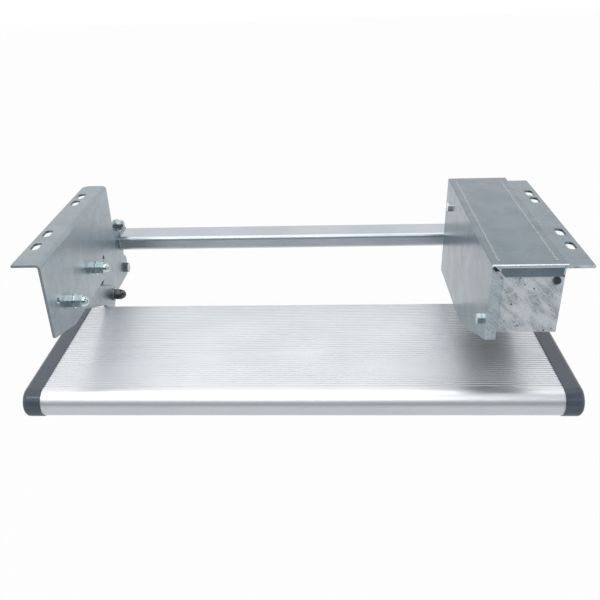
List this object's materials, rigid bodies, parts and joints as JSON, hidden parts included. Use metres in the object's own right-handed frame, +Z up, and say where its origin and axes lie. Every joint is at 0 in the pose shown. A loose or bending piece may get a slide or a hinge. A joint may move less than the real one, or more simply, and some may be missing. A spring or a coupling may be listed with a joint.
{
  "type": "electric entry step",
  "caption": "Electric entry step in its stowed position: ribbed aluminium tread on parallel arms under folded side brackets, with a boxed motor drive.",
  "frame": {"origin": "on the mounting plane, midway between the brackets, in line with the left bracket's front edge", "axes": "+X along the tread towards the motor housing, +Y away from the doorway under the vehicle, +Z up"},
  "size_m": [0.586, 0.3485, 0.1898],
  "materials": {
    "galvanised_sheet": "hot-dip galvanised steel sheet, faint spangle, satin",
    "bright_cover_sheet": "bright rolled zinc-coated sheet, brushed",
    "plated_tube": "drawn steel tube, clear zinc plate, smooth",
    "zinc_fasteners": "bright blue passivated zinc plate",
    "dark_zinc": "black zinc plate",
    "anodised_aluminium": "natural anodised aluminium extrusion, satin",
    "cast_aluminium": "die-cast aluminium, matt",
    "motor_paint": "black painted steel can",
    "black_plastic": "moulded black plastic",
    "slate_plastic": "moulded slate grey plastic, satin",
    "black_rubber": "moulded black rubber",
    "bronze": "sintered bronze",
    "plain_steel": "turned steel, oiled"
  },
  "bodies": {
    "frame": {"left_bracket": "galvanised_sheet", "right_bracket": "galvanised_sheet", "housing_cover": "bright_cover_sheet", "cover_screws": "zinc_fasteners", "front_rivet": "dark_zinc", "cable_grommet": "black_rubber", "pivot_bushes": "zinc_fasteners", "pivot_bolts": "zinc_fasteners", "pivot_washers": "zinc_fasteners", "pivot_nuts": "zinc_fasteners", "pivot_dome_nuts": "zinc_fasteners", "gear_case": "cast_aluminium", "gear_case_screws": "zinc_fasteners", "motor_can": "motor_paint", "motor_end": "black_plastic", "shaft_bush": "bronze"},
    "drive_arm": {"right_front_arm": "galvanised_sheet", "output_shaft": "plain_steel", "shaft_washer": "zinc_fasteners", "shaft_nut": "zinc_fasteners"},
    "tread_carriage": {"left_hanger": "galvanised_sheet", "right_hanger": "galvanised_sheet", "cross_tube": "plated_tube", "top_studs": "zinc_fasteners", "top_washers": "zinc_fasteners", "top_nuts": "zinc_fasteners", "link_bushes": "zinc_fasteners", "link_bolts": "zinc_fasteners", "link_washers": "zinc_fasteners", "link_dome_nuts": "dark_zinc", "link_nuts": "zinc_fasteners", "tread": "anodised_aluminium", "left_end_cap": "slate_plastic", "right_end_cap": "slate_plastic", "tread_bolts": "zinc_fasteners", "tread_nuts": "zinc_fasteners"},
    "left_front_arm": {"left_front_arm": "galvanised_sheet"},
    "left_rear_arm": {"left_rear_arm": "galvanised_sheet"},
    "right_rear_arm": {"right_rear_arm": "galvanised_sheet"}
  },
  "joints": [
    {"name": "drive_arm_swing", "type": "hinge", "parent": "frame", "child": "drive_arm", "pos_m": [0.253, 0.055, -0.0675], "axis": [-1, 0, 0], "range_deg": [0, 100]},
    {"name": "tread_level", "type": "hinge", "parent": "drive_arm", "child": "tread_carriage", "pos_m": [0.253, 0.213, -0.1395], "axis": [-1, 0, 0], "range_deg": [-100, 0]},
    {"name": "left_front_swing", "type": "hinge", "parent": "frame", "child": "left_front_arm", "pos_m": [-0.253, 0.055, -0.0675], "axis": [-1, 0, 0], "range_deg": [0, 100]},
    {"name": "left_rear_swing", "type": "hinge", "parent": "frame", "child": "left_rear_arm", "pos_m": [-0.2626, 0.14, -0.0675], "axis": [-1, 0, 0], "range_deg": [0, 100]},
    {"name": "right_rear_swing", "type": "hinge", "parent": "frame", "child": "right_rear_arm", "pos_m": [0.2626, 0.14, -0.0675], "axis": [-1, 0, 0], "range_deg": [0, 100]}
  ],
  "couplings": [
    {"joint": "tread_level", "follows": "drive_arm_swing", "ratio": -1},
    {"joint": "left_front_swing", "follows": "drive_arm_swing", "ratio": 1},
    {"joint": "left_rear_swing", "follows": "drive_arm_swing", "ratio": 1},
    {"joint": "right_rear_swing", "follows": "drive_arm_swing", "ratio": 1}
  ]
}
